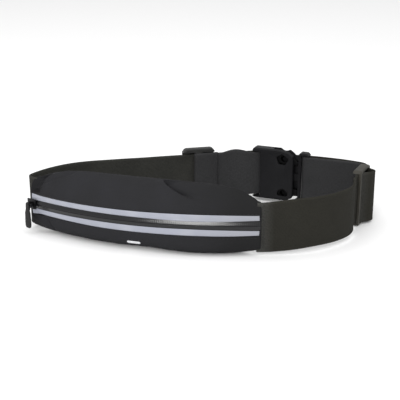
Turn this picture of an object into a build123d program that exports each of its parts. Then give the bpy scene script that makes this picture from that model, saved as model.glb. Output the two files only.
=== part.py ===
from build123d import *
from math import cos, radians, sin
import os

# A running belt standing on its lower edge: a curved zipped pouch in front, webbing straps round
# to a side-release buckle at the back, and a sliding tri-glide adjuster on each strap.
# Millimetres. +Z is up, the pouch faces -Y, and the origin is under the middle of the belt's box.

# ---- pouch and zipper: everything there is laid out round one upright axis ----
ARC_X, ARC_Y = 21.92, 180.82         # the axis that the zipper curves round
ZIP_RADIUS = 253.0                  # outer face of the zipper tape
POUCH_LEFT, POUCH_RIGHT = -128.6, -85.0   # the pouch's ends, degrees round the axis
SKIN = 0.8                          # panel and tape thickness
MID_Z = 24.5                        # height of the zipper and of the straps' middle line
SLIT = 0.8                          # half the gap between the two tapes
TAPE_REACH = 8.8                    # from the zipper's middle to a tape's far edge
STRIP_LOW, STRIP_HIGH = 3.5, 8.3    # the reflective strip's edges, from the zipper's middle
STRIP_THICK = 0.25
COIL_REACH, COIL_THICK = 2.6, 1.3
COIL_LEFT, COIL_RIGHT = -126.9, -87.6
# angle, front-to-back thickness, ridge height and underside height of the pouch
POUCH_SECTIONS = [
    (POUCH_LEFT, 6.8, 44.5, 4.5),
    (-125.0, 13.5, 49.5, 2.0),
    (-120.0, 20.0, 52.6, 0.4),
    (-112.0, 23.5, 53.2, 0.0),
    (-104.0, 24.0, 53.0, 0.0),
    (-96.0, 22.0, 52.0, 0.0),
    (-91.0, 17.0, 50.9, 0.6),
    (-88.0, 11.0, 49.0, 1.8),
    (-86.3, 6.2, 45.6, 3.2),
    (POUCH_RIGHT, 3.3, 42.4, 4.2),
]
MARK_ANGLE, MARK_Z = -107.1, 6.6    # a plain sewn-on tag on the lower panel
MARK_LENGTH, MARK_HEIGHT = 11.0, 2.6

# ---- zipper slider and pull ----
SLIDER_ANGLE = -128.1               # the slider stands at the closed end, on the left
SLIDER_HALF_ANGLE = 1.0
SLIDER_REACH = 4.0                  # half the plates' height
SLIDER_OUT = (1.5, 2.7)             # outer plate, from the tape's face outwards
SLIDER_IN = (-3.7, -2.5)            # inner plate, behind the coil
POST_REACH = 0.5
BRIDGE_OUT = 5.4                    # the pull's pivot, out from the tape's face
BRIDGE_RADIUS = 0.6
EYE_RADIUS, EYE_HOLE, EYE_THICK = 1.8, 0.9, 1.6
PULL_LENGTH, PULL_WIDTH, PULL_THICK = 20.5, 5.0, 1.8

# ---- webbing ----
WEB = 1.4                           # thickness
STRAP_WIDTH = 40.0
STRAP_BOTTOM = MID_Z - STRAP_WIDTH / 2
LAYER_GAP = 5.2                     # outer layer to return layer, middle to middle
TONGUE_ANGLE = 1.1                  # how far a strap's end reaches into the pouch
TONGUE_HALF = 8.6                   # half the height of that end, between the zipper tapes' edges
RIGHT_INSET, LEFT_INSET = 1.65, 4.9  # the strap ends' middle lines, in from the tape's face
# a strap's plan is a list of runs: a straight length, or an arc's (radius, turn)
RIGHT_FRONT_RUNS = [19.4, (73.5, 48.3), (26.8, 38.0), (19.3, -26.1)]
ADJUSTER_RUN = 35.6
RIGHT_BACK_RUNS = [(10.0, 77.5), (81.2, 14.3), 27.4]
BUTT_GAP = 0.6                      # between the front strap and the back strap's end
LEFT_CORNER = (6.0, -79.0)
LEFT_SHOULDER = (75.0, -48.0)
STUB = 7.5                          # gap that an adjuster's travel needs in the return layer

# ---- side-release buckle, in its own frame: along it, out of its face, up ----
BUCKLE_SPAN = 43.8                  # from bar to bar
BAR_RADIUS = 1.6
WRAP_RADIUS = LAYER_GAP / 2
FEMALE_LENGTH, FEMALE_THICK = 38.0, 10.0
# the female half's outline above its middle line, and below it
FEMALE_TOP = [(0.0, 24.0), (26.0, 24.0), (33.5, 22.8), (FEMALE_LENGTH, 19.4)]
FEMALE_BOTTOM = [(FEMALE_LENGTH, -18.4), (32.0, -21.8), (0.0, -21.8)]
FEMALE_CORNER = 3.0
FEMALE_BAR_AT = 4.4                 # the bar's middle, in from the female's end
FACE_START = 8.2                    # where the female's closed faces begin, past the webbing
CAVITY_START, CAVITY_THICK, CAVITY_HALF = 12.0, 6.4, 18.6
SIDE_WALL_END = 19.0                # the side walls stop here, and the prongs show beyond them
MALE_THICK = 8.0
# the male half's outline, above its middle line: two ears that stand proud of the webbing
MALE_OUTLINE = [(39.8, 18.4), (43.6, 22.9), (49.4, 22.9), (51.6, 20.9)]
MALE_CORNER = 1.5
MALE_BASE_START, EAR_INSIDE = 42.4, 19.2
MALE_SLOT_START = 44.6
GUIDE_START, GUIDE_HALF, GUIDE_THICK = 14.0, 3.0, 3.0
PRONG_PIVOT = (40.0, 13.0)          # along the buckle, up or down from its middle
PRONG_ROOT = 2.0
PRONG_LOBE = (28.6, 15.6)           # the middle of the prong's thumb lobe
LOBE_RADIUS, LOBE_HOLE = 5.0, 2.6
# the prong's outline from its root out over the lobe, round the tip and back
PRONG_OUTLINE = [(40.0, 15.0), (32.4, 19.4), (24.6, 19.4), (19.0, 15.4), (15.0, 11.6),
                 (15.0, 8.8), (18.5, 8.8), (24.0, 11.4), (40.0, 11.0)]
PRONG_THICK = 5.0
# the window in the female's inner face, where a lobe shows, and the scallop in its outer face
WINDOW_OUTLINE = [(22.4, 17.4), (28.0, 20.8), (34.2, 16.4), (30.6, 10.8), (24.8, 11.2)]
LOWER_WINDOW = [(23.6, -17.6), (33.2, -17.8), (34.0, -14.2), (29.0, -10.4), (24.6, -12.6)]
WINDOW_CORNER = 1.6
SCALLOP = (28.6, 26.8)
SCALLOP_RADIUS = 5.2
LIP_START, LIP_END, LIP_HALF = 34.0, 42.2, 18.8    # the outer face's lip behind the mouth

# ---- tri-glide ----
GLIDE_LENGTH = 28.0
GLIDE_CORNER, RAIL_ROUND = 4.0, 1.4
END_BAR = 3.0
GLIDE_OUT = (1.0, 3.0)              # end bars, out from the strap's middle line
GLIDE_IN = (-4.4, 3.0)              # the rails that carry them and the centre bar
# each adjuster's half height, its middle's height above the strap's, and its rails' height
LEFT_GLIDE_SIZE = (24.5, 1.0, 3.3)
RIGHT_GLIDE_SIZE = (23.5, -1.0, 2.2)
CENTRE_BAR = (6.6, 2.3)             # the centre bar's width along the strap, and its thickness
LOOP_WEB = 1.2
LEFT_GLIDE_FROM_BAR = 54.0
LEFT_LEG, RIGHT_LEG = 12.0, 8.0     # the sewn loop's reach from the middle of its bar


def polar(length, heading):
    return Vector(length * cos(radians(heading)), length * sin(radians(heading)))


ARC_CENTRE = Vector(ARC_X, ARC_Y)
UPRIGHT = Axis((ARC_X, ARC_Y, 0), (0, 0, 1))


def arc_point(angle, out=0.0):
    return ARC_CENTRE + polar(ZIP_RADIUS + out, angle)


def radial_plane(angle):
    """The upright plane through the axis: its x is the radius and its y is the height."""
    return Plane(ARC_CENTRE, x_dir=polar(1, angle), z_dir=polar(1, angle - 90))


def after_run(point, heading, run):
    """Where a run ends: the point and the heading there."""
    if not isinstance(run, tuple):
        return point + polar(run, heading), heading
    radius, turn = run
    side = 90 if turn > 0 else -90
    centre = point + polar(radius, heading + side)
    return centre + polar(radius, heading + turn - side), heading + turn


def after_runs(point, heading, runs):
    for run in runs:
        point, heading = after_run(point, heading, run)
    return point, heading


def strap_line(point, heading, runs):
    """The plan line of a strap that follows the runs."""
    with BuildLine() as line:
        for run in runs:
            end, turned = after_run(point, heading, run)
            if isinstance(run, tuple):
                JernArc(point, polar(1, heading), run[0], run[1])
            else:
                Line(point, end)
            point, heading = end, turned
    return line.line


def ring_sector(radius_from, radius_to, z_from, z_to, left, right):
    """A band round the axis, made in the current part."""
    with BuildSketch(radial_plane(left)) as band:
        with Locations(((radius_from + radius_to) / 2, (z_from + z_to) / 2)):
            Rectangle(radius_to - radius_from, z_to - z_from)
    revolve(band.sketch, axis=UPRIGHT, revolution_arc=right - left)


def tongue(inset, left, right):
    """A strap's narrower end, sewn inside the pouch, made in the current part."""
    middle = ZIP_RADIUS - inset
    ring_sector(middle - WEB / 2, middle + WEB / 2, MID_Z - TONGUE_HALF, MID_Z + TONGUE_HALF,
                left, right)


def save(part, name):
    part.label = name
    export_step(part, f"parts/{name}.step")
    print(f"{name}: {part.volume:.0f} mm3")


os.makedirs("parts", exist_ok=True)

# ================= pouch =================


def upper_outline(thickness, top, bottom):
    edge = MID_Z + TAPE_REACH
    outer = [(0, edge), (-0.1 * thickness, edge + 0.35 * (top - edge)),
             (-0.45 * thickness, top - 0.16 * (top - edge)), (-0.92 * thickness, top)]
    inner = [(-0.92 * thickness, top - 1.3), (-0.5 * thickness, top - 0.16 * (top - edge) - 1.1),
             (-0.1 * thickness - SKIN, edge + 0.35 * (top - edge) - 0.5), (-SKIN, edge)]
    return outer + inner


def lower_outline(thickness, top, bottom):
    edge = MID_Z - TAPE_REACH
    outer = [(0, edge), (-0.08 * thickness, bottom + 0.4 * (edge - bottom)),
             (-0.3 * thickness, bottom), (-0.85 * thickness, bottom)]
    inner = [(-0.85 * thickness, bottom + SKIN), (-0.3 * thickness - 0.3, bottom + SKIN),
             (-0.08 * thickness - SKIN, bottom + 0.4 * (edge - bottom) + 0.3), (-SKIN, edge)]
    return outer + inner


def back_outline(thickness, top, bottom):
    return [(-0.92 * thickness, top), (-thickness, top - 3), (-thickness, bottom + 2),
            (-0.85 * thickness, bottom), (-0.85 * thickness, bottom + SKIN),
            (-thickness + SKIN, bottom + 2.4), (-thickness + SKIN, top - 3.2),
            (-0.92 * thickness, top - 1.3)]


def panel_sections(outline):
    sections = []
    for angle, thickness, top, bottom in POUCH_SECTIONS:
        with BuildSketch(radial_plane(angle)) as section:
            with BuildLine():
                Polyline([(ZIP_RADIUS + out, z) for out, z in outline(thickness, top, bottom)],
                         close=True)
            make_face()
        sections.append(section.sketch)
    return sections


with BuildPart() as pouch_upper_panel:
    loft(panel_sections(upper_outline), ruled=True)
save(pouch_upper_panel.part, "pouch_upper_panel")

with BuildPart() as pouch_lower_panel:
    loft(panel_sections(lower_outline), ruled=True)
save(pouch_lower_panel.part, "pouch_lower_panel")

with BuildPart() as pouch_back_panel:
    loft(panel_sections(back_outline), ruled=True)
save(pouch_back_panel.part, "pouch_back_panel")

for name, side in (("upper", 1), ("lower", -1)):
    with BuildPart() as zipper_tape:
        ring_sector(ZIP_RADIUS - SKIN, ZIP_RADIUS, MID_Z + side * SLIT, MID_Z + side * TAPE_REACH,
                    POUCH_LEFT, POUCH_RIGHT)
    save(zipper_tape.part, f"zipper_tape_{name}")

    with BuildPart() as reflective_strip:
        ring_sector(ZIP_RADIUS, ZIP_RADIUS + STRIP_THICK, MID_Z + side * STRIP_LOW,
                    MID_Z + side * STRIP_HIGH, POUCH_LEFT, POUCH_RIGHT)
    save(reflective_strip.part, f"reflective_strip_{name}")

    with BuildPart() as zipper_coil:
        ring_sector(ZIP_RADIUS - SKIN - COIL_THICK, ZIP_RADIUS - SKIN, MID_Z + side * SLIT,
                    MID_Z + side * COIL_REACH, COIL_LEFT, COIL_RIGHT)
    save(zipper_coil.part, f"zipper_coil_{name}")

with BuildPart() as zipper_end_stops:
    ring_sector(ZIP_RADIUS - SKIN - COIL_THICK, ZIP_RADIUS - SKIN, MID_Z - COIL_REACH,
                MID_Z + COIL_REACH, COIL_RIGHT, COIL_RIGHT + 0.5)
    ring_sector(ZIP_RADIUS - SKIN - COIL_THICK, ZIP_RADIUS - SKIN, MID_Z + SLIT,
                MID_Z + COIL_REACH, COIL_LEFT - 1.0, COIL_LEFT)
    ring_sector(ZIP_RADIUS - SKIN - COIL_THICK, ZIP_RADIUS - SKIN, MID_Z - COIL_REACH,
                MID_Z - SLIT, COIL_LEFT - 1.0, COIL_LEFT)
save(zipper_end_stops.part, "zipper_end_stops")

# ================= zipper slider and pull =================

slider_left = SLIDER_ANGLE - SLIDER_HALF_ANGLE
slider_right = SLIDER_ANGLE + SLIDER_HALF_ANGLE

with BuildPart() as zipper_slider:
    for low, high in (SLIDER_OUT, SLIDER_IN):
        ring_sector(ZIP_RADIUS + low, ZIP_RADIUS + high, MID_Z - SLIDER_REACH,
                    MID_Z + SLIDER_REACH, slider_left, slider_right)
    ring_sector(ZIP_RADIUS + SLIDER_IN[0], ZIP_RADIUS + SLIDER_OUT[1], MID_Z - POST_REACH,
                MID_Z + POST_REACH, slider_left, slider_left + 0.7)
save(zipper_slider.part, "zipper_slider")

tangent = polar(1, SLIDER_ANGLE + 90)
pivot_plan = arc_point(SLIDER_ANGLE, BRIDGE_OUT)
pivot = Vector(pivot_plan.X, pivot_plan.Y, MID_Z)
cross_plane = Plane(pivot, x_dir=polar(1, SLIDER_ANGLE), z_dir=polar(1, SLIDER_ANGLE - 90))

with BuildPart() as slider_bridge:
    with BuildSketch(cross_plane):
        Circle(BRIDGE_RADIUS)
    extrude(amount=3.2, both=True)
    for along in (-2.6, 2.6):
        foot_plane = cross_plane.offset(along)
        foot_depth = BRIDGE_OUT - SLIDER_OUT[1]
        with BuildSketch(foot_plane):
            with Locations((-foot_depth / 2, 0)):
                Rectangle(foot_depth, 2.4)
        extrude(amount=0.6, both=True)
save(slider_bridge.part, "slider_bridge")

with BuildPart() as pull_link:
    with BuildSketch(cross_plane):
        Circle(EYE_RADIUS)
        with Locations((0, -3.0)):
            Rectangle(1.2, 3.4)
        Circle(EYE_HOLE, mode=Mode.SUBTRACT)
    extrude(amount=EYE_THICK / 2, both=True)
save(pull_link.part, "pull_link")

with BuildPart() as pull_tab:
    with BuildSketch(Plane(pivot, x_dir=tangent, z_dir=polar(1, SLIDER_ANGLE))):
        with Locations((0, -(PULL_LENGTH + 4.7) / 2)):
            RectangleRounded(PULL_WIDTH, PULL_LENGTH - 4.7, 1.8)
    extrude(amount=PULL_THICK / 2, both=True)
save(pull_tab.part, "pull_tab")

# ================= straps =================

right_start = arc_point(POUCH_RIGHT, -RIGHT_INSET)
run_start, run_heading = after_runs(right_start, POUCH_RIGHT + 90, RIGHT_FRONT_RUNS)

with BuildPart() as right_front_strap:
    with BuildSketch(Plane.XY.offset(STRAP_BOTTOM)):
        trace(strap_line(right_start, POUCH_RIGHT + 90, RIGHT_FRONT_RUNS), line_width=WEB)
    extrude(amount=STRAP_WIDTH)
    tongue(RIGHT_INSET, POUCH_RIGHT - TONGUE_ANGLE, POUCH_RIGHT)
save(right_front_strap.part, "right_front_strap")

back_start = run_start + polar(BUTT_GAP, run_heading)
right_back = [ADJUSTER_RUN - BUTT_GAP] + RIGHT_BACK_RUNS
male_end, buckle_heading = after_runs(back_start, run_heading, right_back)

with BuildPart() as right_back_strap:
    with BuildSketch(Plane.XY.offset(STRAP_BOTTOM)):
        trace(strap_line(back_start, run_heading, right_back), line_width=WEB)
    extrude(amount=STRAP_WIDTH)
save(right_back_strap.part, "right_back_strap")

# the return layer turns round the buckle's bar and runs back along the inside
right_glide = run_start + polar(ADJUSTER_RUN - GLIDE_LENGTH / 2, run_heading)
right_return = [(WRAP_RADIUS, 180.0), RIGHT_BACK_RUNS[2]]
for radius, turn in reversed(RIGHT_BACK_RUNS[:2]):
    right_return.append((radius - LAYER_GAP, -turn))

with BuildPart() as right_return_strap:
    with BuildSketch(Plane.XY.offset(STRAP_BOTTOM)):
        trace(strap_line(male_end, buckle_heading, right_return), line_width=WEB)
    extrude(amount=STRAP_WIDTH)
save(right_return_strap.part, "right_return_strap")

# the buckle lies on one line: along it, +x of its frame, from the female's end to the male's
male_bar = male_end + polar(WRAP_RADIUS, buckle_heading + 90)
buckle_start = male_bar + polar(BUCKLE_SPAN + FEMALE_BAR_AT, buckle_heading)
female_bar = male_bar + polar(BUCKLE_SPAN, buckle_heading)
along_buckle = polar(1, buckle_heading + 180)
out_of_buckle = polar(1, buckle_heading - 90)

# the left strap runs back from the pouch: corner, straight, shoulder, straight, buckle
left_start = arc_point(POUCH_LEFT, -LEFT_INSET)
left_first = [(ZIP_RADIUS - LEFT_INSET, -1.0), LEFT_CORNER]
corner_end, corner_heading = after_runs(left_start, POUCH_LEFT - 90, left_first)
_, left_heading = after_run(corner_end, corner_heading, LEFT_SHOULDER)
left_end = female_bar + polar(WRAP_RADIUS, left_heading + 90)
# two straights, one each side of the shoulder, close the gap between the corner and the bar
shoulder_end, _ = after_run(Vector(0, 0), corner_heading, LEFT_SHOULDER)
gap = left_end - corner_end - shoulder_end
first, last = polar(1, corner_heading), polar(1, left_heading)
spread = first.X * last.Y - first.Y * last.X
short_straight = (gap.X * last.Y - gap.Y * last.X) / spread
long_straight = (first.X * gap.Y - first.Y * gap.X) / spread
print(f"left strap straights: {short_straight:.1f} and {long_straight:.1f} mm")

with BuildPart() as left_strap:
    with BuildSketch(Plane.XY.offset(STRAP_BOTTOM)):
        left_runs = left_first + [short_straight, LEFT_SHOULDER, long_straight]
        trace(strap_line(left_start, POUCH_LEFT - 90, left_runs), line_width=WEB)
    extrude(amount=STRAP_WIDTH)
    tongue(LEFT_INSET, POUCH_LEFT, POUCH_LEFT + TONGUE_ANGLE)
save(left_strap.part, "left_strap")

left_return_length = LEFT_GLIDE_FROM_BAR - LEFT_LEG - STUB

with BuildPart() as left_return_strap:
    with BuildSketch(Plane.XY.offset(STRAP_BOTTOM)):
        left_return = [(WRAP_RADIUS, -180.0), left_return_length]
        trace(strap_line(left_end, left_heading, left_return), line_width=WEB)
    extrude(amount=STRAP_WIDTH)
save(left_return_strap.part, "left_return_strap")

# ================= adjusters =================


def glide_plane(centre, heading_to_buckle, out_heading, raised):
    """The strap-side view of an adjuster: x along the strap, y up, z out of the belt."""
    origin = Vector(centre.X, centre.Y, MID_Z + raised)
    return Plane(origin, x_dir=polar(1, heading_to_buckle), z_dir=polar(1, out_heading))


left_glide = left_end + polar(LEFT_GLIDE_FROM_BAR, left_heading + 180)
glides = {
    "left": (left_glide, left_heading, left_heading + 90, LEFT_LEG, LEFT_GLIDE_SIZE),
    "right": (right_glide, run_heading, run_heading - 90, RIGHT_LEG, RIGHT_GLIDE_SIZE),
}
loop_radius = (LAYER_GAP - (WEB / 2 + 0.3 + LOOP_WEB / 2)) / 2
centre_bar_out = -(LAYER_GAP - loop_radius)
loop_reach = (CENTRE_BAR[0] - CENTRE_BAR[1]) / 2

for side, (centre, heading, out_heading, leg, size) in glides.items():
    half, raised, rail = size
    face = glide_plane(centre, heading, out_heading, raised)
    with BuildPart() as triglide:
        with BuildSketch(face.offset(GLIDE_IN[0])):
            RectangleRounded(GLIDE_LENGTH, 2 * half, GLIDE_CORNER)
            Rectangle(GLIDE_LENGTH + 1, 2 * (half - rail), mode=Mode.SUBTRACT)
        extrude(amount=GLIDE_IN[1] - GLIDE_IN[0])
        rails = triglide.edges().filter_by(Axis(face.origin, face.x_dir)).group_by(Axis.Z)
        fillet(rails[0] + rails[-1], RAIL_ROUND)
        with BuildSketch(face.offset(GLIDE_OUT[0])):
            for end in (-1, 1):
                with Locations((end * (GLIDE_LENGTH - END_BAR) / 2, 0)):
                    Rectangle(END_BAR, 2 * (half - rail) + 1)
        extrude(amount=GLIDE_OUT[1] - GLIDE_OUT[0])
        bar_middle = centre + polar(centre_bar_out, out_heading) + Vector(0, 0, MID_Z + raised)
        with BuildSketch(Plane(bar_middle, x_dir=polar(1, heading))):
            SlotOverall(*CENTRE_BAR)
        extrude(amount=half - rail + 0.5, both=True)
    save(triglide.part, f"{side}_triglide")

    # the sewn loop: back along the inside, round the centre bar and forward again
    turn_side = 1 if side == "left" else -1
    loop_start = (centre + polar(-LAYER_GAP, out_heading)) + polar(leg, heading)
    with BuildPart() as loop_end:
        with BuildSketch(Plane.XY.offset(STRAP_BOTTOM)):
            loop_runs = [leg + loop_reach, (loop_radius, -turn_side * 180.0), leg + loop_reach]
            trace(strap_line(loop_start, heading + 180, loop_runs), line_width=LOOP_WEB)
        extrude(amount=STRAP_WIDTH)
    save(loop_end.part, f"{side}_loop_end")

# ================= buckle =================
buckle_origin = Vector(buckle_start.X, buckle_start.Y, MID_Z)
buckle_face = Plane(buckle_origin, x_dir=along_buckle, z_dir=-out_of_buckle)   # its y is up


def mirrored_outline(points):
    """A closed outline: the points given, then the same points below the middle line."""
    return points + [(x, -y) for x, y in reversed(points)]


with BuildPart() as female_buckle:
    with BuildSketch(buckle_face) as female_outline:
        with BuildLine():
            Polyline(FEMALE_TOP + FEMALE_BOTTOM, close=True)
        make_face()
        fillet(female_outline.vertices(), FEMALE_CORNER)
    extrude(amount=FEMALE_THICK / 2, both=True)
    rim = female_buckle.faces().sort_by(Axis(buckle_origin, out_of_buckle))
    fillet(rim[0].edges() + rim[-1].edges(), 1.6)
    cavity_length = FEMALE_LENGTH + 1 - CAVITY_START
    with BuildSketch(buckle_face):
        with Locations((CAVITY_START + cavity_length / 2, 0)):
            Rectangle(cavity_length, 2 * CAVITY_HALF)
        open_length = FEMALE_LENGTH + 1 - SIDE_WALL_END
        with Locations((SIDE_WALL_END + open_length / 2, 0)):
            Rectangle(open_length, 2 * FEMALE_TOP[0][1] + 2)
    extrude(amount=CAVITY_THICK / 2, both=True, mode=Mode.SUBTRACT)
    # open round the bar, which stays as a round post
    with BuildSketch(buckle_face):
        with Locations((FACE_START / 2 - 1, 0)):
            Rectangle(FACE_START + 2, STRAP_WIDTH + 1)
    extrude(amount=FEMALE_THICK, both=True, mode=Mode.SUBTRACT)
    with BuildSketch(Plane(Vector(female_bar.X, female_bar.Y, MID_Z))):
        Circle(BAR_RADIUS)
    extrude(amount=STRAP_WIDTH / 2 + 1.0, both=True)
    # windows in the inner face over the prongs' lobes
    with BuildSketch(buckle_face) as windows:
        for outline in (WINDOW_OUTLINE, LOWER_WINDOW):
            with BuildLine():
                Polyline(outline, close=True)
            make_face()
        fillet(windows.vertices(), WINDOW_CORNER)
    extrude(amount=FEMALE_THICK, mode=Mode.SUBTRACT)
    # scallops in the outer face, which leave room for a thumb on the prongs
    with BuildSketch(buckle_face):
        with Locations(SCALLOP, (SCALLOP[0], -SCALLOP[1])):
            Circle(SCALLOP_RADIUS)
    extrude(amount=-FEMALE_THICK, mode=Mode.SUBTRACT)
    # the outer face's lip closes the view between the two halves
    with BuildSketch(buckle_face.offset(-FEMALE_THICK / 2)):
        with Locations(((LIP_START + LIP_END) / 2, 0)):
            Rectangle(LIP_END - LIP_START, 2 * LIP_HALF)
    extrude(amount=(FEMALE_THICK - CAVITY_THICK) / 2)
save(female_buckle.part, "female_buckle")

with BuildPart() as male_buckle:
    with BuildSketch(buckle_face) as male_outline:
        with BuildLine():
            Polyline(mirrored_outline(MALE_OUTLINE), close=True)
        make_face()
        fillet(male_outline.vertices(), MALE_CORNER)
    extrude(amount=MALE_THICK / 2, both=True)
    rim = male_buckle.faces().sort_by(Axis(buckle_origin, out_of_buckle))
    fillet(rim[0].edges() + rim[-1].edges(), 1.2)
    with BuildSketch(buckle_face):
        recess = MALE_BASE_START - MALE_OUTLINE[0][0] + 1
        with Locations((MALE_BASE_START - recess / 2, 0)):
            Rectangle(recess, 2 * EAR_INSIDE)
        slot = MALE_OUTLINE[-1][0] + 1 - MALE_SLOT_START
        with Locations((MALE_SLOT_START + slot / 2, 0)):
            Rectangle(slot, STRAP_WIDTH + 1)
    extrude(amount=MALE_THICK, both=True, mode=Mode.SUBTRACT)
    with BuildSketch(Plane(Vector(male_bar.X, male_bar.Y, MID_Z))):
        Circle(BAR_RADIUS)
    extrude(amount=STRAP_WIDTH / 2 + 1.0, both=True)
    with BuildSketch(buckle_face):
        guide = MALE_BASE_START + 1 - GUIDE_START
        with Locations((GUIDE_START + guide / 2, 0)):
            RectangleRounded(guide, 2 * GUIDE_HALF, 1.4)
    extrude(amount=GUIDE_THICK / 2, both=True)
save(male_buckle.part, "male_buckle")

pivot_x, pivot_y = PRONG_PIVOT
lobe_x, lobe_y = PRONG_LOBE
for name, side in (("upper", 1), ("lower", -1)):
    with BuildPart() as prong:
        with BuildSketch(buckle_face):
            with BuildLine():
                Polyline([(x, side * y) for x, y in PRONG_OUTLINE], close=True)
            make_face()
            with Locations((pivot_x, side * pivot_y)):
                Circle(PRONG_ROOT)
            with Locations((lobe_x, side * lobe_y)):
                Circle(LOBE_RADIUS)
                Circle(LOBE_HOLE, mode=Mode.SUBTRACT)
        extrude(amount=PRONG_THICK / 2, both=True)
        flats = prong.faces().sort_by(Axis(buckle_origin, out_of_buckle))
        chamfer(flats[0].edges() + flats[-1].edges(), 0.4)
    save(prong.part, f"prong_{name}")

# ================= the plain tag on the lower panel =================
mark_centre = arc_point(MARK_ANGLE, 0.25)
mark_plane = Plane(Vector(mark_centre.X, mark_centre.Y, MARK_Z), x_dir=polar(1, MARK_ANGLE + 90),
                   z_dir=polar(1, MARK_ANGLE))
with BuildPart() as pouch_tag:
    with BuildSketch(mark_plane):
        SlotOverall(MARK_LENGTH, MARK_HEIGHT)
    extrude(amount=-0.5)
save(pouch_tag.part, "pouch_tag")

# ---- places that the joints, mounts and openings use ----
print("axis of the zipper", ARC_X, ARC_Y, "pull pivot", pivot, "pull axis", -tangent)
print("buckle release", along_buckle, "prong axis", out_of_buckle)
for name, side in (("upper", 1), ("lower", -1)):
    hinge = buckle_origin + along_buckle * PRONG_PIVOT[0] + Vector(0, 0, side * PRONG_PIVOT[1])
    print("prong pivot", name, hinge)
print("left adjuster along", polar(1, left_heading), "right adjuster along", polar(1, run_heading))
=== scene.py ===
import math

import bpy
import numpy as np
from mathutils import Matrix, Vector, noise


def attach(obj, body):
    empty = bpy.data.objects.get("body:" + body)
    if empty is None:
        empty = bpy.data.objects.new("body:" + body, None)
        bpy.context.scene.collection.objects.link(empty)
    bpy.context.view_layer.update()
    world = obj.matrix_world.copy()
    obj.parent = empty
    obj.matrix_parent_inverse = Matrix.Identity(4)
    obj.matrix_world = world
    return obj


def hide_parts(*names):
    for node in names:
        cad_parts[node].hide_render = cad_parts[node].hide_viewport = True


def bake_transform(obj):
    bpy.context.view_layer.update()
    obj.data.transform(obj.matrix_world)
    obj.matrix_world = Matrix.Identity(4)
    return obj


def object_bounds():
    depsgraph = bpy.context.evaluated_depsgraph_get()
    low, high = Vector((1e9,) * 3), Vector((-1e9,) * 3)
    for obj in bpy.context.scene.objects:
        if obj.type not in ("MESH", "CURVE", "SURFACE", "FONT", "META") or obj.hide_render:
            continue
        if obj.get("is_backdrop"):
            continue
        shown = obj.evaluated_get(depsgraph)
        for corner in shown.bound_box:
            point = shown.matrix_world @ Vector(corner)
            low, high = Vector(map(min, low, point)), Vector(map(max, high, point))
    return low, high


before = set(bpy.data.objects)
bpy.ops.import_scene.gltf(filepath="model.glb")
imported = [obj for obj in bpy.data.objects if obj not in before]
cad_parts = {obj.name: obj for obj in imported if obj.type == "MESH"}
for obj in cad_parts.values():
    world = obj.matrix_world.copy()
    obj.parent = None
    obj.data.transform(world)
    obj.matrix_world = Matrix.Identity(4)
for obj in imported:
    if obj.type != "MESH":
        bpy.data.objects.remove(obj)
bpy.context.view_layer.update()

# The looks of a running belt that stands on its lower edge. Millimetres and degrees here;
# meshes are made in metres in the row frame. +Z is up and the pouch faces -Y.

MM = 0.001

# ---- the zipper's curve and the pouch, as in the CAD ----
ARC_CENTRE = np.array([21.92, 180.82])
ZIP_RADIUS = 253.0
POUCH_LEFT, POUCH_RIGHT = -128.6, -85.0
MID_Z = 24.5
TAPE_REACH = 8.8
SKIN = 0.8
# angle, front-to-back thickness, ridge height and underside height of the pouch
POUCH_SECTIONS = np.array([
    (POUCH_LEFT, 6.8, 44.5, 4.5),
    (-125.0, 13.5, 49.5, 2.0),
    (-120.0, 20.0, 52.6, 0.4),
    (-112.0, 23.5, 53.2, 0.1),
    (-104.0, 24.0, 53.0, 0.1),
    (-96.0, 22.0, 52.0, 0.1),
    (-91.0, 17.0, 50.9, 0.6),
    (-88.0, 11.0, 49.0, 1.8),
    (-86.3, 6.2, 45.6, 3.2),
    (POUCH_RIGHT, 3.3, 42.4, 4.2),
])
# angle, then the upper strip's two edges and the lower strip's, up or down from the zipper
STRIP_EDGES = np.array([
    (POUCH_LEFT, 3.4, 8.2, 3.2, 8.8),
    (-126.6, 3.4, 7.7, 3.7, 7.5),
    (-124.0, 3.5, 7.6, 3.7, 7.5),
    (-114.0, 3.5, 7.8, 3.6, 8.3),
    (-104.0, 3.5, 8.2, 3.4, 8.3),
    (-97.0, 3.1, 8.6, 3.2, 8.3),
    (-90.0, 3.5, 8.3, 3.6, 8.2),
    (POUCH_RIGHT, 4.0, 7.8, 4.2, 7.8),
])
EDGE_LAP = 0.3                  # the panels lap this much over the tape's edge
PANEL_OUT = 0.35                # and start this far out of the zipper's arc
RIDGE_BACK, UNDER_BACK = 0.92, 0.85     # the back seams' depth, as shares of the thickness
# how far the closed film stands out, how far from the zipper it ends, and how round its crest is
FILM_BULGE, FILM_REACH, FILM_ROUND = 1.32, 3.6, 0.5
FILM_THICK = 0.5
RIB_PITCH, RIB_HEIGHT = 1.45, 0.022
STRIP_THICK, STRIP_BACKING = 0.35, 0.25
TAG_ANGLE, TAG_Z = -107.1, 6.6
TAG_LENGTH, TAG_HEIGHT, TAG_THICK = 11.0, 2.6, 0.3

# ---- the upper panel's dimple and the lower panel's belly ----
DIMPLE_ANGLE, DIMPLE_SWEEP = -102.6, 18.0
DIMPLE_DEPTH, DIMPLE_FADE = 5.2, 7.0
DIMPLE_WALL = (-0.4, 2.4)       # the steep wall starts and ends this far past the crescent
DIMPLE_RISE = (0.40, 0.58)      # share of the panel's width over which it comes in
BELLY_OUT, BELLY_ANGLE, BELLY_REACH = 7.5, -95.5, 11.0
PUCKER_PITCH, PUCKER_HEIGHT = 5.3, 0.10

# ---- the slider's pull ----
SLIDER_ANGLE, BRIDGE_OUT = -128.1, 5.4
GRIP_TOP, GRIP_BOTTOM = 0.9, -19.2
GRIP_WIDTH, GRIP_THICK, GRIP_OUT = 5.2, 2.0, 1.5
GRIP_RIDGES = (-16.4, -14.2, -12.0)
GRIP_SQUARE = 0.45              # 1 makes its section an ellipse and 0 a rectangle

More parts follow.
